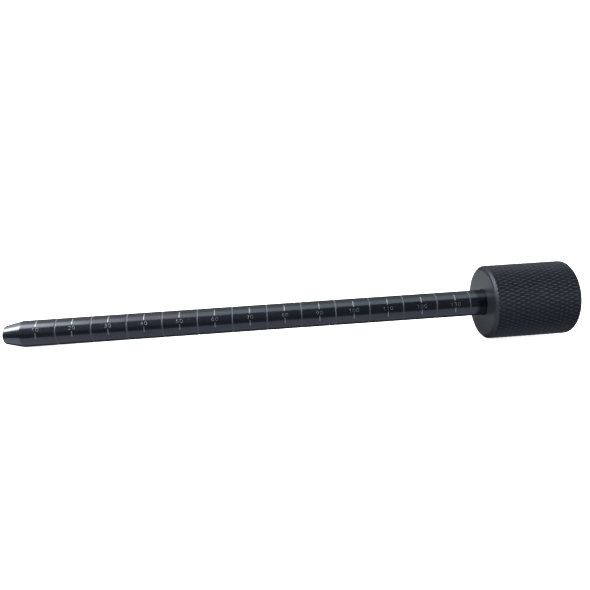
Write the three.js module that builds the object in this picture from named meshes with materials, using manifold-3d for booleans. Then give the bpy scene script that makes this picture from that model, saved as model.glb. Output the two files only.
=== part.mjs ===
// A straight graduated gauge stick. A steel shank with a tapered nose and turned ring lines
// is held in the blind bore of a round aluminium knob by one set screw in the knob's side.
//
// Millimetres. The origin is the centre of the tip face, which is the zero of the scale, so a
// point's X is its reading. +X runs along the shank to the knob and +Z is up. The set screw
// points along Y, on the side away from the numbers.
import * as THREE from "three";
import { mergeVertices } from "three/addons/utils/BufferGeometryUtils.js";
import Module from "manifold-3d";

const wasm = await Module();
wasm.setup();

// Shank
const SHANK_RADIUS = 3.8;
const SHANK_LENGTH = 158; // tip face to tail end, inside the knob
const NOSE_LENGTH = 5.3;
const NOSE_TIP_RADIUS = 2.6; // where the cone would meet the tip face if its edge were sharp
const NOSE_EDGE_RADIUS = 0.6;
const TAIL_CHAMFER = 0.5;
const SHANK_SIDES = 40;

// Turned V grooves that ring the shank
const FIRST_RING = 15;
const LAST_RING = 135;
const RING_PITCH = 10;
const RING_WIDTH = 0.4;
const RING_DEPTH = 0.1;

// Knob
const KNOB_RADIUS = 11;
const KNOB_FRONT = 140;
const KNOB_END = 165;
const FRONT_CHAMFER = 0.8;
const REAR_CHAMFER = 0.7;
const KNOB_SIDES = 48;

// Set screw, a 5 mm thread with a hexagon socket, and the flat on the shank that it bears on
const SCREW_X = 150;
const SCREW_RADIUS = 2.5;
const SCREW_RECESS = 0.8; // from the knob's outside to the screw's socket end
const SCREW_CHAMFER = 0.5;
const SOCKET_ACROSS_FLATS = 2.5;
const SOCKET_DEPTH = 2.5;
const SCREW_SIDES = 24;
const FLAT_LENGTH = 8;
const FLAT_DEPTH = 0.5;

// Room between pieces that touch on the real object
const SIDE_GAP = 0.15; // round the shank's tail and round the screw
const END_GAP = 0.3; // beyond the shank's tail and under the screw

const CUT_OVERRUN = 1; // how far a cutting body reaches past the face that it cuts

// A THREE geometry as a solid that can be cut.
function solidFrom(geometry) {
  const bare = geometry.clone();
  bare.deleteAttribute("normal");
  bare.deleteAttribute("uv");
  const merged = mergeVertices(bare, 1e-4);
  return new wasm.Manifold(
    new wasm.Mesh({
      numProp: 3,
      vertProperties: merged.attributes.position.array,
      triVerts: new Uint32Array(merged.index.array),
    }),
  );
}

// A cut solid back as a flat-shaded THREE geometry.
function geometryFrom(solid) {
  const { vertProperties, triVerts } = solid.getMesh();
  const indexed = new THREE.BufferGeometry();
  indexed.setAttribute("position", new THREE.BufferAttribute(new Float32Array(vertProperties), 3));
  indexed.setIndex(new THREE.BufferAttribute(new Uint32Array(triVerts), 1));
  const geometry = indexed.toNonIndexed();
  geometry.computeVertexNormals();
  return geometry;
}

// Turns a list of [x, radius] points, which starts and ends on the X axis, about that axis.
function turned(profile, sides) {
  const points = profile.map(([x, radius]) => new THREE.Vector2(radius, x));
  return new THREE.LatheGeometry(points, sides).rotateZ(-Math.PI / 2);
}

// The rounded edge between the tip face and the nose cone, from the face outwards.
function noseEdge(steps) {
  const slope = Math.atan2(SHANK_RADIUS - NOSE_TIP_RADIUS, NOSE_LENGTH);
  const centre = NOSE_TIP_RADIUS - (NOSE_EDGE_RADIUS * (1 - Math.sin(slope))) / Math.cos(slope);
  const sweep = Math.PI / 2 - slope;
  const arc = [];
  for (let i = 0; i <= steps; i++) {
    const angle = Math.PI - (sweep * i) / steps;
    arc.push([
      NOSE_EDGE_RADIUS * (1 + Math.cos(angle)),
      centre + NOSE_EDGE_RADIUS * Math.sin(angle),
    ]);
  }
  return arc;
}

function shankGeometry() {
  const profile = [[0, 0], ...noseEdge(4), [NOSE_LENGTH, SHANK_RADIUS]];
  for (let x = FIRST_RING; x <= LAST_RING; x += RING_PITCH) {
    profile.push([x - RING_WIDTH / 2, SHANK_RADIUS]);
    profile.push([x, SHANK_RADIUS - RING_DEPTH]);
    profile.push([x + RING_WIDTH / 2, SHANK_RADIUS]);
  }
  profile.push([SHANK_LENGTH - TAIL_CHAMFER, SHANK_RADIUS]);
  profile.push([SHANK_LENGTH, SHANK_RADIUS - TAIL_CHAMFER]);
  profile.push([SHANK_LENGTH, 0]);

  const cutHeight = FLAT_DEPTH + CUT_OVERRUN;
  const flatCut = new THREE.BoxGeometry(FLAT_LENGTH, cutHeight, 2 * SHANK_RADIUS);
  flatCut.translate(SCREW_X, SHANK_RADIUS - FLAT_DEPTH + cutHeight / 2, 0);
  return geometryFrom(solidFrom(turned(profile, SHANK_SIDES)).subtract(solidFrom(flatCut)));
}

function knobGeometry() {
  const boreRadius = SHANK_RADIUS + SIDE_GAP;
  const boreEnd = SHANK_LENGTH + END_GAP;
  const barrel = turned(
    [
      [boreEnd, 0],
      [boreEnd, boreRadius],
      [KNOB_FRONT, boreRadius],
      [KNOB_FRONT, KNOB_RADIUS - FRONT_CHAMFER],
      [KNOB_FRONT + FRONT_CHAMFER, KNOB_RADIUS],
      [KNOB_END - REAR_CHAMFER, KNOB_RADIUS],
      [KNOB_END, KNOB_RADIUS - REAR_CHAMFER],
      [KNOB_END, 0],
    ],
    KNOB_SIDES,
  );
  const holeRadius = SCREW_RADIUS + SIDE_GAP;
  const holeLength = KNOB_RADIUS + CUT_OVERRUN;
  const screwHole = new THREE.CylinderGeometry(holeRadius, holeRadius, holeLength, SCREW_SIDES);
  screwHole.translate(SCREW_X, holeLength / 2, 0);
  return geometryFrom(solidFrom(barrel).subtract(solidFrom(screwHole)));
}

function setScrewGeometry() {
  const inner = SHANK_RADIUS - FLAT_DEPTH + END_GAP;
  const outer = KNOB_RADIUS - SCREW_RECESS;
  const profile = [
    [0, inner],
    [SCREW_RADIUS - SCREW_CHAMFER, inner],
    [SCREW_RADIUS, inner + SCREW_CHAMFER],
    [SCREW_RADIUS, outer - SCREW_CHAMFER],
    [SCREW_RADIUS - SCREW_CHAMFER, outer],
    [0, outer],
  ];
  const points = profile.map(([radius, y]) => new THREE.Vector2(radius, y));
  const blank = new THREE.LatheGeometry(points, SCREW_SIDES);

  const socketRadius = SOCKET_ACROSS_FLATS / Math.sqrt(3);
  const socketLength = SOCKET_DEPTH + CUT_OVERRUN;
  const socket = new THREE.CylinderGeometry(socketRadius, socketRadius, socketLength, 6);
  socket.translate(0, outer - SOCKET_DEPTH + socketLength / 2, 0);
  return geometryFrom(solidFrom(blank).subtract(solidFrom(socket)));
}

function piece(name, geometry, material) {
  const mesh = new THREE.Mesh(geometry, material);
  mesh.name = name;
  return mesh;
}

const blackenedSteel = new THREE.MeshStandardMaterial({
  name: "blackened_steel",
  color: 0x1b2028,
  roughness: 0.2,
  metalness: 0.85,
});
const anodisedAluminium = new THREE.MeshStandardMaterial({
  name: "anodised_aluminium",
  color: 0x33363c,
  roughness: 0.5,
  metalness: 0.6,
});
const screwSteel = new THREE.MeshStandardMaterial({
  name: "screw_steel",
  color: 0x1c1c1e,
  roughness: 0.4,
  metalness: 0.9,
});

const stick = new THREE.Group();
stick.name = "gauge_stick";
stick.add(piece("graduated_shank", shankGeometry(), blackenedSteel));
stick.add(piece("knurled_knob", knobGeometry(), anodisedAluminium));
const setScrew = piece("set_screw", setScrewGeometry(), screwSteel);
setScrew.position.x = SCREW_X;
stick.add(setScrew);

export default stick;
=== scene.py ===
"""The finished look of the gauge stick: a glossy blue-black shank with ring lines and a
millimetre scale, in a satin knurled knob held by one set screw. Lengths below are in
millimetres unless a name says otherwise; meshes are built in millimetres and stored in metres."""

import math

import bpy
import numpy as np
from mathutils import Matrix, Vector


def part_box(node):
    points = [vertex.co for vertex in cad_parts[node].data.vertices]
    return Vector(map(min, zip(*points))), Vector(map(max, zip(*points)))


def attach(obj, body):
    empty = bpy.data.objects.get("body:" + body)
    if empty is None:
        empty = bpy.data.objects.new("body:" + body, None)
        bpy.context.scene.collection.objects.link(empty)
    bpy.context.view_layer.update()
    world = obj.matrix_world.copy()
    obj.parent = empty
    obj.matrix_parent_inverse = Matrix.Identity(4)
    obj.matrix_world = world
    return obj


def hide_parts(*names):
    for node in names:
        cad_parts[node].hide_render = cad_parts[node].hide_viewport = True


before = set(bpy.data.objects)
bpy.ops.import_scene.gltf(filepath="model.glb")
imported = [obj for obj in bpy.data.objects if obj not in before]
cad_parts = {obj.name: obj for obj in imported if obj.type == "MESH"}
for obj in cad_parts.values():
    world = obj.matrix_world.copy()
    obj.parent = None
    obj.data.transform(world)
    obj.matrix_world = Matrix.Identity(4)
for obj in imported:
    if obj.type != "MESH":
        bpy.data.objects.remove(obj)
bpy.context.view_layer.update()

MM = 0.001

# Places and sizes that the frame gives
_, shank_high = (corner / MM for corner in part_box("graduated_shank"))
knob_low, knob_high = (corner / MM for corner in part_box("knurled_knob"))
screw_low, screw_high = (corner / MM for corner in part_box("set_screw"))
SHANK_RADIUS = shank_high.z
SHANK_END = shank_high.x
KNOB_RADIUS = knob_high.z
KNOB_FRONT = knob_low.x
KNOB_END = knob_high.x
SCREW_X = (screw_low.x + screw_high.x) / 2
SCREW_RADIUS = (screw_high.x - screw_low.x) / 2

# Shank
SHANK_COLUMNS = 192
NOSE_LENGTH = 5.3
NOSE_TIP_RADIUS = 2.6
NOSE_EDGE_RADIUS = 0.6
NOSE_EDGE_STEPS = 12
TIP_INNER_RING = 0.6  # radius of the mesh ring nearest the axis on the tip face
SHOULDER_BLEND = 0.1  # length of the small round on each side of the shoulder
HOLDING_GAP = 0.06  # from the end of a straight stretch to a point that keeps its shading straight
TAIL_CHAMFER = 0.5
TAIL_INNER_RING = 1.0
FLAT_LENGTH = 8.0
FLAT_DEPTH = 0.5
FLAT_STEP = 0.01  # length over which the flat's ends step down
RING_WIDTH = 0.5
RING_DEPTH = 0.1
RING_POINTS = 13  # mesh rings across a ring line

# Scale
SCALE_STEP = 10
FIRST_RING = 15
LAST_RING = 135
LINE_SHARE = 0.8  # share of a ring line's width that its pale metal covers
LINE_RISE = 0.012  # how far the pale metal stands above the groove's own surface
LINE_SINK = 0.03  # how far it reaches below that surface
LINE_STEPS = 8  # points round its section
FIRST_NUMBER = 10
LAST_NUMBER = 130
ROW_START = (9.67, 29.0)  # the first number: X, and degrees from -Y towards +Z
ROW_END = (130.57, 14.0)  # the last number, marked a little askew of the first
UPPER_TICK = (17.5, 45.5)  # the ends of a tick in degrees from the middle of the row of numbers
LOWER_TICK = (-16.5, -36.0)
TICK_WIDTH = 0.36
DIGIT_HEIGHT = 0.92
DIGIT_WIDTH = 0.76  # in heights of a digit
DIGIT_DROP = 0.05  # below the middle of the row
DIGIT_PITCH = 1.08
STROKE_WIDTH = 0.13
STROKE_STEP = 0.08  # between the points of a stroke, so that it follows the shank
STROKE_SECTION = 10  # points round a stroke's section
CAP_ANGLES = (70, 45, 20)  # rows of a stroke's rounded end, in degrees from its widest
CORNER_ANGLE = math.radians(35)  # a stroke is cut in two where it turns more sharply
MARK_RISE = 0.012  # how far a mark's crown stands above the shank
MARK_THICKNESS = 0.04

# Knob
KNURL_STARTS = 60  # grooves round the knob in each direction
KNURL_LENGTH = 2.84  # a diamond's length along the knob
KNURL_DEPTH = 0.3
KNURL_STEPS = 10  # mesh cells along each side of a diamond's box
KNURL_START = 2  # mesh cells from the front face to where the grooves first cross
KNURL_CREST = 0.86  # share of the way up at which a diamond is cut flat
FRONT_CHAMFER = 0.8
FRONT_ROW = 0.04  # the first row of mesh on the front chamfer, behind the front face
FRONT_INNER_RING = 4.5
FRONT_RINGS = 8  # mesh rings on the front face, outside the bore's lip
REAR_CHAMFER = 0.7
REAR_ROW = 0.03  # the last row of mesh on the rear chamfer, before the rear face
REAR_INNER_RING = 1.0
REAR_RINGS = 6
CHAMFER_ROWS = 4  # rows of mesh on a chamfer for each row on the knurl
BORE_GAP = 0.03
BORE_RADIUS = SHANK_RADIUS + BORE_GAP
BORE_DEPTH = 18.3
BORE_LIP = 0.15
BORE_INNER_RING = 1.5
KNURL_SLOT, FACE_SLOT, RIM_SLOT = 0, 1, 2  # the knob's materials

# Set screw
SCREW_COLUMNS = 60
SCREW_CHAMFER = 0.6
THREAD_PITCH = 0.8
THREAD_DEPTH = 0.43
THREAD_GAP = 0.04
THREAD_ROWS = 12  # rows of mesh in one turn of the thread
CUP_DEPTH = 0.6  # of the hollow in the screw's inner end
CUP_RINGS = ((0.5, 0.4), (0.0, 1.3))  # depth and radius of its mesh rings
SOCKET_ACROSS_FLATS = 2.5
SOCKET_DEPTH = 2.5
SOCKET_POINT = 0.4  # depth of the cone that the drill left below the socket
SOCKET_LIP = 0.12
SOCKET_LIP_DEPTH = 0.1
COUNTERSINK = 0.35
CUTTER_OVERSHOOT = 1.0  # how far the tool that cuts the screw hole stands out of the knob
RANGE_SLACK = 0.01  # lets a range of rows reach its end

# Support: the stick lies on the shoulder of its nose and the front rim of its knob
RIM_X = KNOB_FRONT + FRONT_CHAMFER
FLOOR_TILT = math.atan((KNOB_RADIUS - SHANK_RADIUS) / (RIM_X - NOSE_LENGTH))
FLOOR_SIZE = 12000.0
FLOOR_CLEARANCE = 0.02

# Pale table behind the stick, as lights that only the knob sees: near and far edges, brightness
PALE_STRIPS = ((1.0, 24.0, 0.17), (24.0, 160.0, 0.73))
STRIP_MIDDLE = 110.0
STRIP_LENGTH = 60.0
STRIP_LIFT = 0.3  # above the floor

# Key light, in front of the stick, above it and to the left of its tip
KEY_PLACE = (-450, -250, 350)
KEY_SIZE_M = (0.5, 0.4)
KEY_POWER = 6.0

# Surround in reflections: middles of its lights, in degrees round the stick from the front up
LONG_LIGHT_TURN = 78
CORE_TURN = 84
SKY_TINTS = ((1.03, 1.01, 0.95, 1), (0.93, 1.06, 1.0, 1))  # to the left and to the right
TABLE_TINT = (0.96, 0.995, 1.05)
ROOM_TINT = (0.96, 1.04, 1.25)

# Camera
CAMERA_TARGET = (83.64, 0.0, 6.1)
CAMERA_AZIMUTH = math.radians(3.427)
CAMERA_ELEVATION = math.radians(12.432)
CAMERA_DISTANCE = 161.9
CAMERA_LENS = 33.66


# ---------------------------------------------------------------- mesh building


def angles(columns):
    return np.arange(columns) * (2 * math.pi / columns)


def ring(x, radius, columns):
    """One ring of points about the X axis. radius is a number or one for each column."""
    turn = angles(columns)
    radii = np.broadcast_to(radius, turn.shape)
    return np.column_stack([np.full(columns, x), radii * np.cos(turn), radii * np.sin(turn)])


def turned_mesh(name, first, rings, last, bands=None, crisp=()):
    """A closed mesh from a point on the axis, rings, and another point on the axis.

    bands gives a material index for each gap between rings, or one for each of its cells;
    crisp holds the gaps whose cells are split into triangles along their own creases."""
    columns = len(rings[0])
    points = np.vstack([[first], *rings, [last]])
    bands = bands or [0] * (len(rings) - 1)
    faces, slots = [], []
    here = np.arange(columns)
    after = (here + 1) % columns
    faces += [(0, 1 + n, 1 + h) for h, n in zip(here.tolist(), after.tolist())]
    slots += [bands[0]] * columns
    for i in range(len(rings) - 1):
        low = 1 + i * columns
        high = low + columns
        a, b, c, d = low + here, low + after, high + after, high + here
        if i in crisp:
            faces += crisp_cells(rings[i], rings[i + 1], a, b, c, d)
            slots += np.repeat(np.broadcast_to(bands[i], columns), 2).tolist()
        else:
            faces += np.column_stack([a, b, c, d]).tolist()
            slots += np.broadcast_to(bands[i], columns).tolist()
    end = len(points) - 1
    base = 1 + (len(rings) - 1) * columns
    faces += [(base + h, base + n, end) for h, n in zip(here.tolist(), after.tolist())]
    slots += [bands[-1]] * columns
    return new_mesh(name, points, faces, slots)


def crisp_cells(low, high, a, b, c, d):
    """Splits each cell between two rings along the diagonal whose ends are the more level."""
    r_low = np.hypot(low[:, 1], low[:, 2])
    r_high = np.hypot(high[:, 1], high[:, 2])
    along_ac = np.abs(r_low - np.roll(r_high, -1))
    along_bd = np.abs(np.roll(r_low, -1) - r_high)
    cells = []
    for k in range(len(a)):
        if along_ac[k] < along_bd[k]:
            cells += [(a[k], b[k], c[k]), (a[k], c[k], d[k])]
        else:
            cells += [(a[k], b[k], d[k]), (b[k], c[k], d[k])]
    return [tuple(int(v) for v in cell) for cell in cells]


def new_mesh(name, points, faces, slots=None):
    mesh = bpy.data.meshes.new(name)
    mesh.from_pydata((np.asarray(points) * MM).tolist(), [], faces)
    if slots:
        mesh.polygons.foreach_set("material_index", slots)
    mesh.update()
    return mesh


def new_piece(name, mesh, materials, crease_deg):
    """Links a mesh as an object, smooth apart from its creases."""
    for material in materials:
        mesh.materials.append(material)
    mesh.shade_smooth()
    mesh.set_sharp_from_angle(angle=math.radians(crease_deg))
    piece = bpy.data.objects.new(name, mesh)
    bpy.context.scene.collection.objects.link(piece)
    return piece


def apply_modifiers(piece):
    depsgraph = bpy.context.evaluated_depsgraph_get()
    mesh = bpy.data.meshes.new_from_object(piece.evaluated_get(depsgraph), depsgraph=depsgraph)
    piece.modifiers.clear()
    piece.data = mesh


# ---------------------------------------------------------------- node helpers


class Nodes:
    """A short way to write a material's or a world's node tree."""

    def __init__(self, tree):
        self.tree = tree
        tree.nodes.clear()

    def add(self, kind, inputs=None, **settings):
        node = self.tree.nodes.new("ShaderNode" + kind)
        for key, value in settings.items():
            setattr(node, key, value)
        for key, value in (inputs or {}).items():
            self.feed(node, key, value)
        return node

    def feed(self, node, key, value):
        if isinstance(value, bpy.types.NodeSocket):
            self.tree.links.new(value, node.inputs[key])
        else:
            node.inputs[key].default_value = value

    def plus(self, first, second):
        return self.add("Math", {0: first, 1: second}, operation="ADD").outputs[0]

    def times(self, first, second):
        return self.add("Math", {0: first, 1: second}, operation="MULTIPLY").outputs[0]

    def span(self, value, low, high, out_low=0.0, out_high=1.0, smooth=True):
        """value from low..high to out_low..out_high, held at the ends."""
        kind = "SMOOTHSTEP" if smooth else "LINEAR"
        inputs = {0: value, 1: low, 2: high, 3: out_low, 4: out_high}
        return self.add("MapRange", inputs, interpolation_type=kind).outputs[0]

    def mix(self, factor, first, second):
        inputs = {0: factor, 6: first, 7: second}
        return self.add("Mix", inputs, data_type="RGBA").outputs[2]

    def place(self, per_mm=(1.0, 1.0, 1.0)):
        """The point in millimetres, stretched by a factor for each axis."""
        point = self.add("TexCoord").outputs["Object"]
        scale = tuple(k / MM for k in per_mm)
        return self.add("Mapping", {"Vector": point, "Scale": scale}).outputs["Vector"]

    def noise(self, per_mm, detail, roughness):
        """Noise whose coarsest features are about 1 / per_mm millimetres long on each axis."""
        inputs = {
            "Vector": self.place(per_mm),
            "Scale": 1.0,
            "Detail": detail,
            "Roughness": roughness,
        }
        return self.add("TexNoise", inputs).outputs["Fac"]

    def vary(self, noise, low, high):
        """A value from low to high as the noise goes through its usual range."""
        return self.span(noise, 0.3, 0.7, low, high)

    def bump(self, height, strength, distance_mm):
        inputs = {"Height": height, "Strength": strength, "Distance": distance_mm * MM}
        return self.add("Bump", inputs).outputs["Normal"]


def new_material(name, build):
    """A material whose Principled inputs are what build(nodes) returns."""
    material = bpy.data.materials.new(name)
    material.use_nodes = True
    nodes = Nodes(material.node_tree)
    inputs = build(nodes)
    shader = nodes.add("BsdfPrincipled", inputs)
    output = nodes.add("OutputMaterial")
    nodes.feed(output, "Surface", shader.outputs["BSDF"])
    return material


def grey(level):
    return (level, level, level, 1.0)


# ---------------------------------------------------------------- materials


def shank_steel(nodes):
    """Ground and blackened steel: blue-black, glossy, with faint grinding lines round it."""
    lines = nodes.noise((9.0, 0.25, 0.25), 3.0, 0.6)
    clouds = nodes.noise((0.22, 0.5, 0.5), 3.0, 0.55)
    specks = nodes.noise((2.2, 2.2, 2.2), 4.0, 0.7)
    edge = nodes.span(nodes.add("NewGeometry").outputs["Pointiness"], 0.53, 0.6)
    black = nodes.mix(clouds, (0.046, 0.054, 0.068, 1), (0.066, 0.069, 0.078, 1))
    worn = nodes.times(edge, 0.35)
    rough = nodes.vary(clouds, 0.15, 0.2)
    rough = nodes.plus(rough, nodes.span(specks, 0.55, 0.8, 0.0, 0.08))
    rough = nodes.plus(rough, nodes.vary(lines, -0.015, 0.03))
    return {
        "Base Color": nodes.mix(worn, black, (0.25, 0.25, 0.26, 1)),
        "Metallic": 1.0,
        "Roughness": rough,
        "Normal": nodes.bump(lines, 0.25, 0.002),
    }


def grained(nodes, grain, dark, pale, metallic, roughness):
    """A metal whose colour, roughness and fine relief all follow one noise."""
    return {
        "Base Color": nodes.mix(grain, (*dark, 1), (*pale, 1)),
        "Metallic": metallic,
        "Roughness": nodes.vary(grain, *roughness),
        "Normal": nodes.bump(grain, 0.3, 0.01),
    }


def ring_line_metal(nodes):
    """The bottoms of the turned ring lines, pale and dull."""
    grain = nodes.noise((3.0, 1.2, 1.2), 3.0, 0.6)
    dark, pale = (0.085, 0.09, 0.1), (0.113, 0.119, 0.132)
    return grained(nodes, grain, dark, pale, 0.8, (0.62, 0.74))


def number_frost(nodes):
    """The numbers, cut more lightly than the ticks, so they are dimmer."""
    grain = nodes.noise((5.0, 5.0, 5.0), 3.0, 0.65)
    dark, pale = (0.155, 0.16, 0.17), (0.225, 0.23, 0.24)
    return grained(nodes, grain, dark, pale, 0.9, (0.38, 0.5))


def tick_frost(nodes):
    """Pale frosted metal of the short ticks."""
    grain = nodes.noise((5.0, 5.0, 5.0), 3.0, 0.65)
    dark, pale = (0.17, 0.175, 0.184), (0.26, 0.265, 0.275)
    return grained(nodes, grain, dark, pale, 0.9, (0.34, 0.46))


def from_axis(nodes):
    """The distance from the X axis in millimetres."""
    across = nodes.place((0.0, 1.0, 1.0))
    return nodes.add("VectorMath", {0: across}, operation="LENGTH").outputs["Value"]


def knurl_anodised(nodes):
    """Dark anodising over the knurl, with painted shade darkening its valleys, and paler towards
    its crests.
    """
    grain = nodes.noise((4.0, 4.0, 4.0), 4.0, 0.65)
    patches = nodes.noise((0.12, 0.12, 0.12), 2.0, 0.5)
    radius = from_axis(nodes)
    bottom = KNOB_RADIUS - KNURL_DEPTH
    flank = KNOB_RADIUS - 0.3 * KNURL_DEPTH
    top = KNOB_RADIUS - 0.02
    painted_valley_shade = nodes.span(radius, bottom, flank)
    crest = nodes.span(radius, flank, top)
    black = nodes.mix(patches, (0.013, 0.0175, 0.026, 1), (0.0175, 0.0225, 0.031, 1))
    # painted shade: the darkest colour fills the knurl's valleys, darker the deeper they are, in
    # place of the shade that falls in them
    black = nodes.mix(painted_valley_shade, (0.006, 0.0085, 0.014, 1), black)
    # paler towards the crests, by their height
    crest_paling = nodes.times(crest, 0.18)
    return {
        "Base Color": nodes.mix(crest_paling, black, (0.05, 0.058, 0.07, 1)),
        "Metallic": 0.25,
        "Roughness": nodes.vary(grain, 0.42, 0.54),
        "Specular IOR Level": 0.35,
        "Normal": nodes.bump(grain, 0.3, 0.015),
    }


def face_anodised(nodes):
    """The same anodising on the turned faces, with fine rings round the axis."""
    grain = nodes.noise((6.0, 6.0, 6.0), 4.0, 0.65)
    along = nodes.add("SeparateXYZ", {0: nodes.place()}).outputs[0]
    inputs = {"W": nodes.plus(from_axis(nodes), along), "Scale": 7.0, "Detail": 2.0}
    rings = nodes.add("TexNoise", inputs, noise_dimensions="1D").outputs["Fac"]
    height = nodes.plus(nodes.times(grain, 0.5), rings)
    return {
        "Base Color": nodes.mix(rings, (0.0475, 0.0555, 0.069, 1), (0.0645, 0.0745, 0.092, 1)),
        "Metallic": 0.85,
        "Roughness": nodes.vary(grain, 0.28, 0.36),
        "Normal": nodes.bump(height, 0.3, 0.006),
    }


def rim_anodised(nodes):
    """The chamfers, which are turned after the knurl and left a little dull."""
    grain = nodes.noise((6.0, 6.0, 6.0), 4.0, 0.65)
    dark, pale = (0.0235, 0.0275, 0.033), (0.032, 0.037, 0.044)
    return grained(nodes, grain, dark, pale, 0.85, (0.46, 0.56))


def screw_oxide(nodes):
    """Black oxide on the set screw."""
    grain = nodes.noise((5.0, 5.0, 5.0), 3.0, 0.6)
    edge = nodes.span(nodes.add("NewGeometry").outputs["Pointiness"], 0.52, 0.6)
    worn = nodes.times(edge, 0.4)
    return {
        "Base Color": nodes.mix(worn, (0.05, 0.05, 0.054, 1), (0.3, 0.3, 0.31, 1)),
        "Metallic": 1.0,
        "Roughness": nodes.vary(grain, 0.3, 0.45),
        "Normal": nodes.bump(grain, 0.2, 0.01),
    }


def pale_floor(nodes):
    """A white table lit brightly enough that only the deepest shadow shows."""
    grain = nodes.noise((0.02, 0.02, 0.02), 2.0, 0.5)
    return {
        "Base Color": nodes.mix(grain, grey(0.86), grey(0.88)),
        "Roughness": 0.7,
        "Emission Color": grey(1.0),
        "Emission Strength": 0.9,
    }


# ---------------------------------------------------------------- the shank


def nose_edge():
    """The rounded edge between the tip face and the nose cone, as (x, radius) points."""
    slope = math.atan2(SHANK_RADIUS - NOSE_TIP_RADIUS, NOSE_LENGTH)
    centre = NOSE_TIP_RADIUS - NOSE_EDGE_RADIUS * (1 - math.sin(slope)) / math.cos(slope)
    sweep = math.pi / 2 - slope
    turn = math.pi - sweep * np.arange(NOSE_EDGE_STEPS + 1) / NOSE_EDGE_STEPS
    x = NOSE_EDGE_RADIUS * (1 + np.cos(turn))
    return list(zip(x, centre + NOSE_EDGE_RADIUS * np.sin(turn)))


def ring_places():
    return range(FIRST_RING, LAST_RING + 1, SCALE_STEP)


def groove_depth(share):
    """Depth across a ring line, share running from -1 to 1 across its width."""
    return RING_DEPTH * 0.5 * (1 + math.cos(math.pi * share))


def shank_profile():
    """The shank from the tip to the last ring line, as (x, radius) points. Each straight
    stretch has a point close to its ends, which keeps its shading straight."""
    edge = nose_edge()
    slope = (SHANK_RADIUS - edge[-1][1]) / (NOSE_LENGTH - edge[-1][0])
    cone_start = (edge[-1][0] + HOLDING_GAP, edge[-1][1] + slope * HOLDING_GAP)
    profile = [(0.0, TIP_INNER_RING), (0.0, edge[0][1] - HOLDING_GAP), *edge, cone_start]
    for back in (SHOULDER_BLEND + HOLDING_GAP, SHOULDER_BLEND):
        profile.append((NOSE_LENGTH - back, SHANK_RADIUS - slope * back))
    rounded_off = slope * SHOULDER_BLEND / 4
    profile.append((NOSE_LENGTH, SHANK_RADIUS - rounded_off))
    profile += [(NOSE_LENGTH + gap, SHANK_RADIUS) for gap in (SHOULDER_BLEND, 3 * SHOULDER_BLEND)]
    half = RING_WIDTH / 2
    for place in ring_places():
        profile.append((place - half - HOLDING_GAP, SHANK_RADIUS))
        for share in np.linspace(-1, 1, RING_POINTS):
            profile.append((place + share * half, SHANK_RADIUS - groove_depth(share)))
        profile.append((place + half + HOLDING_GAP, SHANK_RADIUS))
    return profile


def shank_mesh():
    facing = np.cos(angles(SHANK_COLUMNS))  # 1 straight out along +Y, where the flat is
    facing = np.maximum(facing, 0.01)  # never 0 or less, because it divides
    flatted = np.minimum(SHANK_RADIUS, (SHANK_RADIUS - FLAT_DEPTH) / facing)
    flat_start = SCREW_X - FLAT_LENGTH / 2
    flat_end = SCREW_X + FLAT_LENGTH / 2
    tail = [
        (flat_start, SHANK_RADIUS),
        (flat_start + FLAT_STEP, flatted),
        (flat_end - FLAT_STEP, flatted),
        (flat_end, SHANK_RADIUS),
        (SHANK_END - TAIL_CHAMFER, SHANK_RADIUS),
        (SHANK_END, SHANK_RADIUS - TAIL_CHAMFER),
        (SHANK_END, TAIL_INNER_RING),
    ]
    rings = [ring(x, radius, SHANK_COLUMNS) for x, radius in shank_profile() + tail]
    return turned_mesh("graduated_shank", (0, 0, 0), rings, (SHANK_END, 0, 0))


def ring_line_mesh():
    """The pale bottoms of the ring lines: one thin closed hoop in each groove."""
    points, faces = [], []
    half = RING_WIDTH / 2 * LINE_SHARE
    turns = np.linspace(0, 2 * math.pi, LINE_STEPS, endpoint=False)
    for place in ring_places():
        base = len(points)
        for turn in turns:
            reach = LINE_RISE if math.sin(turn) > 0 else LINE_SINK
            groove = SHANK_RADIUS - groove_depth(math.cos(turn) * LINE_SHARE)
            radius = groove + reach * math.sin(turn)
            points += ring(place + half * math.cos(turn), radius, SHANK_COLUMNS).tolist()
        for k in range(LINE_STEPS):
            a = base + k * SHANK_COLUMNS
            b = base + (k + 1) % LINE_STEPS * SHANK_COLUMNS
            for j in range(SHANK_COLUMNS):
                n = (j + 1) % SHANK_COLUMNS
                faces.append((a + n, a + j, b + j, b + n))
    return new_mesh("ring_lines", points, faces)


# ---------------------------------------------------------------- the scale's marks


def arc(centre, radii, start_deg, end_deg, steps=18):
    """Points along a part of an upright ellipse."""
    turn = np.radians(np.linspace(start_deg, end_deg, steps + 1))
    return [(centre[0] + radii[0] * math.cos(t), centre[1] + radii[1] * math.sin(t)) for t in turn]


def half_turned(stroke):
    """A digit's stroke turned upside down within the digit's box."""
    points, closed = stroke
    return [(DIGIT_WIDTH - x, 1 - y) for x, y in points], closed


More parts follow.
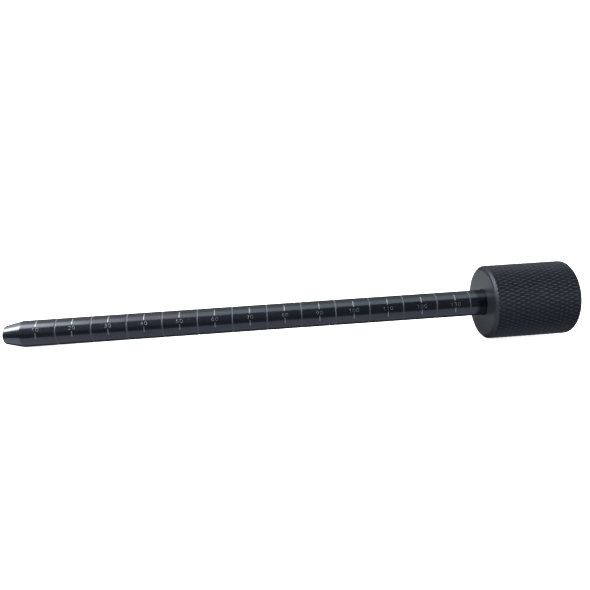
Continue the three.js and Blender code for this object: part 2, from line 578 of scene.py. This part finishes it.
def digit_strokes(digit):
    """Strokes of a plain digit in a box DIGIT_WIDTH wide and 1 high, each (points, closed)."""
    middle = DIGIT_WIDTH / 2
    zero = (arc((middle, 0.5), (middle, 0.5), 0, 360, 32)[:-1], True)
    six_bowl = (arc((middle, 0.31), (0.33, 0.31), 0, 360, 28)[:-1], True)
    six_stem = (arc((0.62, 0.31), (0.57, 0.69), 180, 100, 12), False)
    shapes = {
        "0": [zero],
        "1": [([(0.22, 0.83), (0.42, 1.0), (0.42, 0.0)], False)],
        "2": [(arc((0.37, 0.69), (0.32, 0.31), 165, -35) + [(0.03, 0.0), (0.74, 0.0)], False)],
        "3": [
            (arc((0.36, 0.75), (0.29, 0.25), 150, -90), False),
            (arc((0.36, 0.27), (0.34, 0.27), 90, -150), False),
        ],
        "4": [([(0.55, 0.0), (0.55, 1.0), (0.02, 0.3), (DIGIT_WIDTH, 0.3)], False)],
        "5": [
            ([(0.68, 1.0), (0.16, 1.0), (0.09, 0.52)], False),
            (arc((0.37, 0.32), (0.34, 0.32), 140, -145), False),
        ],
        "6": [six_bowl, six_stem],
        "7": [([(0.04, 1.0), (0.72, 1.0), (0.28, 0.0)], False)],
        "8": [
            (arc((middle, 0.76), (0.27, 0.24), 0, 360, 24)[:-1], True),
            (arc((middle, 0.27), (0.34, 0.27), 0, 360, 28)[:-1], True),
        ],
        "9": [half_turned(six_bowl), half_turned(six_stem)],
    }
    return shapes[digit]


def number_places():
    """Each number of the scale and its X."""
    numbers = range(FIRST_NUMBER, LAST_NUMBER + 1, SCALE_STEP)
    return zip(numbers, np.linspace(ROW_START[0], ROW_END[0], len(numbers)))


def on_shank(x, up, radius):
    """A point on the shank: x along it, up the distance round it from the row of numbers."""
    row = np.interp(x, (ROW_START[0], ROW_END[0]), (ROW_START[1], ROW_END[1]))
    turn = math.radians(row) + up / SHANK_RADIUS
    return np.array([x, -radius * math.cos(turn), radius * math.sin(turn)])


def smooth_runs(points):
    """An open stroke cut at its sharp corners."""
    points = np.array(points)
    way = np.diff(points, axis=0)
    heading = np.unwrap(np.arctan2(way[:, 1], way[:, 0]))
    corners = np.flatnonzero(np.abs(np.diff(heading)) > CORNER_ANGLE) + 1
    ends = [0, *corners.tolist(), len(points) - 1]
    return [points[a : b + 1] for a, b in zip(ends, ends[1:])]


def refined(points):
    """The same open stroke with its points STROKE_STEP apart."""
    points = np.array(points)
    length = np.append(0, np.cumsum(np.linalg.norm(np.diff(points, axis=0), axis=1)))
    stops = np.linspace(0, length[-1], max(2, math.ceil(length[-1] / STROKE_STEP)) + 1)
    return np.column_stack([np.interp(stops, length, points[:, k]) for k in (0, 1)])


def stroke_rows(points, closed, width):
    """A thin oval bar laid on the shank along points given as (x, up), as rows of points."""
    middle = SHANK_RADIUS + MARK_RISE - MARK_THICKNESS / 2
    path = np.array([on_shank(x, up, middle) for x, up in points])
    if closed:
        ahead = np.roll(path, -1, axis=0) - np.roll(path, 1, axis=0)
    else:
        ahead = np.gradient(path, axis=0)
    ahead /= np.linalg.norm(ahead, axis=1)[:, None]
    out = path * np.array([0, 1, 1])
    out /= np.linalg.norm(out, axis=1)[:, None]
    side = np.cross(ahead, out)
    side /= np.linalg.norm(side, axis=1)[:, None]
    around = np.linspace(0, 2 * math.pi, STROKE_SECTION, endpoint=False)

    def section(centre, across, outwards, share):
        """One row round the bar, at a share of its full width and thickness."""
        wide = np.cos(around)[:, None] * across * width / 2 * share
        thick = np.sin(around)[:, None] * outwards * MARK_THICKNESS / 2 * share
        return centre + wide + thick

    rows = [section(path[i], side[i], out[i], 1.0) for i in range(len(path))]
    if not closed:
        first, last = [], []
        for cap in np.radians(CAP_ANGLES):
            reach = width / 2 * math.sin(cap)
            share = math.cos(cap)
            first.append(section(path[0] - ahead[0] * reach, side[0], out[0], share))
            last.append(section(path[-1] + ahead[-1] * reach, side[-1], out[-1], share))
        rows = first + rows + last[::-1]
    return rows


def bars_mesh(name, bars):
    """One mesh of many closed bars, each a list of rows of points."""
    points, faces = [], []
    for rows, closed in bars:
        base = len(points)
        sections = len(rows[0])
        for row in rows:
            points += row.tolist()
        spans = len(rows) if closed else len(rows) - 1
        for i in range(spans):
            a = base + i * sections
            b = base + (i + 1) % len(rows) * sections
            for j in range(sections):
                n = (j + 1) % sections
                faces.append((a + j, b + j, b + n, a + n))
        if not closed:
            faces.append([base + j for j in range(sections)])
            end = base + (len(rows) - 1) * sections
            faces.append([end + j for j in range(sections)][::-1])
    return new_mesh(name, points, faces)


def number_bars():
    bars = []
    for number, middle in number_places():
        digits = str(number)
        start = middle - (len(digits) - 1) * DIGIT_PITCH / 2
        for place, digit in enumerate(digits):
            left = start + place * DIGIT_PITCH - DIGIT_WIDTH / 2 * DIGIT_HEIGHT
            for points, closed in digit_strokes(digit):
                flat = [
                    (left + x * DIGIT_HEIGHT, (y - 0.5) * DIGIT_HEIGHT - DIGIT_DROP)
                    for x, y in points
                ]
                parts = [flat] if closed else map(refined, smooth_runs(flat))
                bars += [(stroke_rows(part, closed, STROKE_WIDTH), closed) for part in parts]
    return bars


def tick_bars():
    bars = []
    for _, x in number_places():
        for tick in (UPPER_TICK, LOWER_TICK):
            ends = [(x, math.radians(turn) * SHANK_RADIUS) for turn in tick]
            bars.append((stroke_rows(refined(ends), False, TICK_WIDTH), False))
    return bars


# ---------------------------------------------------------------- the knob


def knurl_radius(x, columns):
    """The knurled surface's radius at x for each column: rows of diamonds, cut flat on top."""
    turn = np.arange(columns) * KNURL_STARTS / columns
    along = (x - KNOB_FRONT) / KNURL_LENGTH - KNURL_START / KNURL_STEPS
    right = 1 - 2 * np.abs((turn + along) % 1 - 0.5)
    left = 1 - 2 * np.abs((turn - along) % 1 - 0.5)
    height = np.minimum(right, left)
    crest = np.minimum(height, KNURL_CREST) / KNURL_CREST
    return KNOB_RADIUS - KNURL_DEPTH * (1 - crest)


def knob_mesh():
    columns = KNURL_STARTS * KNURL_STEPS
    cell = KNURL_LENGTH / KNURL_STEPS
    rings, bands, crisp = [], [], set()

    def turned(x, radius):
        rings.append(ring(x, radius, columns))
        bands.append(FACE_SLOT)

    bore_end = KNOB_FRONT + BORE_DEPTH
    turned(bore_end, BORE_INNER_RING)
    turned(bore_end, BORE_RADIUS)
    turned(KNOB_FRONT + BORE_LIP, BORE_RADIUS)
    turned(KNOB_FRONT, BORE_RADIUS + BORE_LIP)
    front_edge = KNOB_RADIUS - FRONT_CHAMFER - FRONT_ROW
    for radius in np.linspace(FRONT_INNER_RING, front_edge, FRONT_RINGS):
        turned(KNOB_FRONT, radius)

    fine = cell / CHAMFER_ROWS
    front_rows = np.arange(FRONT_ROW, FRONT_CHAMFER + fine, fine)
    middle_start = math.ceil((FRONT_CHAMFER + fine) / cell) * cell
    length = KNOB_END - KNOB_FRONT
    middle_rows = np.arange(middle_start, length - REAR_CHAMFER - cell, cell)
    last_row = length - REAR_ROW
    rear_rows = np.append(np.arange(middle_rows[-1] + fine, last_row, fine), last_row)
    for step in np.concatenate([front_rows, middle_rows, rear_rows]):
        x = KNOB_FRONT + step
        cone = min(
            KNOB_RADIUS - FRONT_CHAMFER + step,
            KNOB_RADIUS - REAR_CHAMFER + (length - step),
        )
        knurl = knurl_radius(x, columns)
        rings.append(ring(x, np.minimum(knurl, cone), columns))
        crisp.add(len(rings) - 1)
        bands.append(np.where(knurl < cone, KNURL_SLOT, RIM_SLOT))

    rear_edge = KNOB_RADIUS - REAR_CHAMFER - REAR_ROW
    for radius in np.linspace(rear_edge, REAR_INNER_RING, REAR_RINGS):
        turned(KNOB_END, radius)
    start, end = (bore_end, 0, 0), (KNOB_END, 0, 0)
    return turned_mesh("knurled_knob", start, rings, end, bands[:-1], crisp)


def thread_radius(along, turn, outside):
    """The radius of a thread with sharp ridges at a distance along it and an angle round it."""
    phase = (along / THREAD_PITCH - turn / (2 * math.pi)) % 1
    return outside - THREAD_DEPTH * 2 * np.abs(phase - 0.5)


def upright(mesh):
    """Turns a mesh made about X so that its +X points along +Y, centred on the screw's X."""
    turn = Matrix.Rotation(math.radians(90), 4, "Z")
    mesh.transform(Matrix.Translation((SCREW_X * MM, 0, 0)) @ turn)
    return mesh


def screw_mesh():
    inner, outer = screw_low.y, screw_high.y
    turn = angles(SCREW_COLUMNS)
    hexagon = SOCKET_ACROSS_FLATS / 2 / np.cos((turn % (math.pi / 3)) - math.pi / 6)
    outside = SCREW_RADIUS - THREAD_GAP
    rows = [(inner + depth, radius) for depth, radius in CUP_RINGS]
    for y in np.arange(inner, outer + RANGE_SLACK, THREAD_PITCH / THREAD_ROWS):
        chamfer = SCREW_RADIUS - SCREW_CHAMFER + min(y - inner, outer - y)
        rows.append((y, np.minimum(thread_radius(y, turn, outside), chamfer)))
    rows += [
        (outer, hexagon + SOCKET_LIP),
        (outer - SOCKET_LIP_DEPTH, hexagon),
        (outer - SOCKET_DEPTH, hexagon),
    ]
    rings = [ring(y, radius, SCREW_COLUMNS) for y, radius in rows]
    deep = outer - SOCKET_DEPTH - SOCKET_POINT
    return upright(turned_mesh("set_screw", (inner + CUP_DEPTH, 0, 0), rings, (deep, 0, 0)))


def screw_hole_cutter():
    """A threaded plug with a cone at its mouth, which cuts the knob's tapped hole."""
    turn = angles(SCREW_COLUMNS)
    mouth = KNOB_RADIUS + CUTTER_OVERSHOOT
    rings = []
    for y in np.arange(0.0, KNOB_RADIUS + RANGE_SLACK, THREAD_PITCH / THREAD_ROWS):
        cone = SCREW_RADIUS + COUNTERSINK - (KNOB_RADIUS - y)
        thread = thread_radius(y, turn, SCREW_RADIUS)
        rings.append(ring(y, np.maximum(thread, cone), SCREW_COLUMNS))
    rings.append(ring(mouth, SCREW_RADIUS + COUNTERSINK, SCREW_COLUMNS))
    return upright(turned_mesh("hole_cutter", (0, 0, 0), rings, (mouth, 0, 0)))


def cut_screw_hole(knob, material):
    cutter = new_piece("hole_cutter", screw_hole_cutter(), [material], crease_deg=30)
    cut = knob.modifiers.new("screw_hole", "BOOLEAN")
    cut.operation = "DIFFERENCE"
    cut.solver = "MANIFOLD"
    cut.object = cutter
    apply_modifiers(knob)
    bpy.data.objects.remove(cutter)


# ---------------------------------------------------------------- the stage


def floor_turn():
    return Matrix.Rotation(FLOOR_TILT, 4, "Y")


def make_floor(material):
    half = FLOOR_SIZE / 2
    corners = [(-half, -half, 0), (half, -half, 0), (half, half, 0), (-half, half, 0)]
    mesh = new_mesh("floor", corners, [(0, 1, 2, 3)])
    mesh.materials.append(material)
    floor = bpy.data.objects.new("floor", mesh)
    bpy.context.scene.collection.objects.link(floor)
    below = SHANK_RADIUS + FLOOR_CLEARANCE
    floor.matrix_world = Matrix.Translation(Vector((NOSE_LENGTH, 0, -below)) * MM) @ floor_turn()
    floor.visible_glossy = False
    floor.visible_diffuse = False


def make_world():
    """A surround that is plain white for sight and, as light, brightest above and behind.
    Reflections see a dark blue room instead, with a long soft light over the stick, brightest
    to the left, and a grey table."""
    world = bpy.data.worlds.new("studio")
    bpy.context.scene.world = world
    world.use_nodes = True
    world.cycles.sampling_method = "NONE"
    nodes = Nodes(world.node_tree)
    way = nodes.add("TexCoord").outputs["Generated"]
    side = nodes.add("SeparateXYZ", {0: way}).outputs[0]  # -1 at the tip's end, 1 at the knob's
    across = nodes.add("VectorMath", {0: way, 1: (0, 1, 1)}, operation="MULTIPLY").outputs[0]
    across = nodes.add("VectorMath", {0: across}, operation="NORMALIZE").outputs[0]

    def towards(turn_deg):
        """The cosine of the angle round X from a direction turn_deg above the front."""
        turn = math.radians(turn_deg)
        inputs = {0: across, 1: (0, -math.cos(turn), math.sin(turn))}
        return nodes.add("VectorMath", inputs, operation="DOT_PRODUCT").outputs["Value"]

    def tinted(colour, brightness):
        inputs = {0: colour, "Scale": brightness}
        return nodes.add("VectorMath", inputs, operation="SCALE").outputs[0]

    # The long light over the stick, broad with a crown along its middle
    front = towards(0)
    plateau = nodes.span(towards(LONG_LIGHT_TURN), 0.05, 0.8, smooth=False)
    crown = nodes.span(towards(LONG_LIGHT_TURN), 0.84, 0.985)
    spread = nodes.plus(nodes.times(plateau, 0.5), nodes.times(crown, 0.5))
    sky = nodes.times(nodes.span(side, 0.4, -0.2, 1.47, 1.8, smooth=False), spread)

    # Its left end glows and has a hot core, and the whole light stops short of the front
    core = nodes.times(nodes.span(side, -0.21, -0.72), nodes.span(towards(CORE_TURN), 0.92, 1.0))
    glow = nodes.times(nodes.span(side, -0.3, -0.72), plateau)
    glow = nodes.plus(nodes.times(glow, 3.0), nodes.times(core, 15.0))
    glow = nodes.times(glow, nodes.span(side, -0.97, -0.82, 0.12, 1.0))
    sky = nodes.plus(sky, glow)
    sky = nodes.times(sky, nodes.span(front, 0.5, 0.42))

    # The table below, and the dark room, which is brighter overhead than low down
    table = nodes.times(nodes.span(towards(-90), 0.36, 0.49), nodes.span(front, -0.55, 0.1))
    table = nodes.times(table, nodes.span(side, -0.33, -0.7, 0.58, 1.35, smooth=False))
    room_top = nodes.span(side, 0.2, -0.25, 0.19, 0.43, smooth=False)
    room = nodes.span(towards(90), 0.0, 0.5, 0.165, room_top)
    room = nodes.times(room, nodes.span(front, -0.5, 0.0, 0.3, 1.0))

    to_right = nodes.span(side, -0.4, 0.35, smooth=False)
    mirrored = tinted(nodes.mix(to_right, *SKY_TINTS), sky)
    for tint, brightness in ((TABLE_TINT, table), (ROOM_TINT, room)):
        inputs = {0: mirrored, 1: tinted(tint, brightness)}
        mirrored = nodes.add("VectorMath", inputs, operation="ADD").outputs[0]

    rays = nodes.add("LightPath").outputs
    light = nodes.span(towards(120), -0.2, 0.85, 0.52, 1.75)
    surround = nodes.mix(rays["Is Camera Ray"], light, grey(1.1))
    surround = nodes.mix(rays["Is Glossy Ray"], surround, mirrored)
    background = nodes.add("Background", {"Color": surround})
    output = nodes.add("OutputWorld")
    nodes.feed(output, "Surface", background.outputs[0])


def soft_light(name, place, turn, size, energy):
    """A rectangular light, turned so that its own -Z shines, which the camera doesn't see."""
    light = bpy.data.lights.new(name, "AREA")
    light.shape = "RECTANGLE"
    light.size, light.size_y = size
    light.energy = energy
    lamp = bpy.data.objects.new(name, light)
    bpy.context.scene.collection.objects.link(lamp)
    lamp.matrix_world = Matrix.Translation(place * MM) @ turn
    lamp.visible_camera = False
    return lamp


def make_lights(knob):
    """A large soft light to the left of the tip, and the pale table behind the stick, which
    the satin front face of the knob mirrors."""
    key_place = Vector(KEY_PLACE)
    aim = Vector((KNOB_FRONT, 0, 0)) - key_place
    key_turn = aim.to_track_quat("-Z", "Y").to_matrix().to_4x4()
    key = soft_light("key_light", key_place, key_turn, KEY_SIZE_M, KEY_POWER)
    key.visible_glossy = False
    lit = bpy.data.collections.new("lit_by_table")
    lit.objects.link(knob)
    floor_z = -SHANK_RADIUS - (STRIP_MIDDLE - NOSE_LENGTH) * math.tan(FLOOR_TILT)
    face_up = floor_turn() @ Matrix.Rotation(math.pi, 4, "X")
    for near, far, brightness in PALE_STRIPS:
        place = Vector((STRIP_MIDDLE, (near + far) / 2, floor_z + STRIP_LIFT))
        size = (STRIP_LENGTH * MM, (far - near) * MM)
        energy = brightness * math.pi * size[0] * size[1]
        strip = soft_light("pale_strip", place, face_up, size, energy)
        strip.light_linking.receiver_collection = lit


def make_camera():
    ahead = Vector((
        math.sin(CAMERA_AZIMUTH) * math.cos(CAMERA_ELEVATION),
        math.cos(CAMERA_AZIMUTH) * math.cos(CAMERA_ELEVATION),
        -math.sin(CAMERA_ELEVATION),
    ))
    right = ahead.cross(floor_turn() @ Vector((0, 0, 1))).normalized()
    up = right.cross(ahead)
    data = bpy.data.cameras.new("camera")
    data.lens = CAMERA_LENS
    data.sensor_width = 36.0
    data.clip_start = 0.005
    data.clip_end = 50.0
    camera = bpy.data.objects.new("camera", data)
    bpy.context.scene.collection.objects.link(camera)
    turn = Matrix((right, up, -ahead)).transposed().to_4x4()
    place = (Vector(CAMERA_TARGET) - ahead * CAMERA_DISTANCE) * MM
    camera.matrix_world = Matrix.Translation(place) @ turn
    bpy.context.scene.camera = camera


# ---------------------------------------------------------------- put together


def make_stick():
    steel = new_material("shank_steel", shank_steel)
    shank = new_piece("shank", shank_mesh(), [steel], crease_deg=30)
    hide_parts("graduated_shank")

    line_metal = new_material("ring_line", ring_line_metal)
    lines = new_piece("ring_lines", ring_line_mesh(), [line_metal], crease_deg=50)
    frost = new_material("tick_frost", tick_frost)
    tick_mesh = bars_mesh("scale_ticks", tick_bars())
    ticks = new_piece("scale_ticks", tick_mesh, [frost], crease_deg=60)
    dim_frost = new_material("number_frost", number_frost)
    number_mesh = bars_mesh("scale_numbers", number_bars())
    numbers = new_piece("scale_numbers", number_mesh, [dim_frost], crease_deg=60)

    knurl = new_material("knob_knurl", knurl_anodised)
    face = new_material("knob_face", face_anodised)
    rim = new_material("knob_rim", rim_anodised)
    knob = new_piece("knob", knob_mesh(), [knurl, face, rim], crease_deg=28)
    cut_screw_hole(knob, face)
    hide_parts("knurled_knob")

    oxide = new_material("screw_oxide", screw_oxide)
    screw = new_piece("grub_screw", screw_mesh(), [oxide], crease_deg=35)
    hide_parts("set_screw")

    for piece in (shank, lines, ticks, numbers, knob, screw):
        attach(piece, "root")
    return knob


make_camera()
stick_knob = make_stick()
make_floor(new_material("pale_floor", pale_floor))
make_world()
make_lights(stick_knob)
bpy.context.scene.view_settings.view_transform = "Standard"
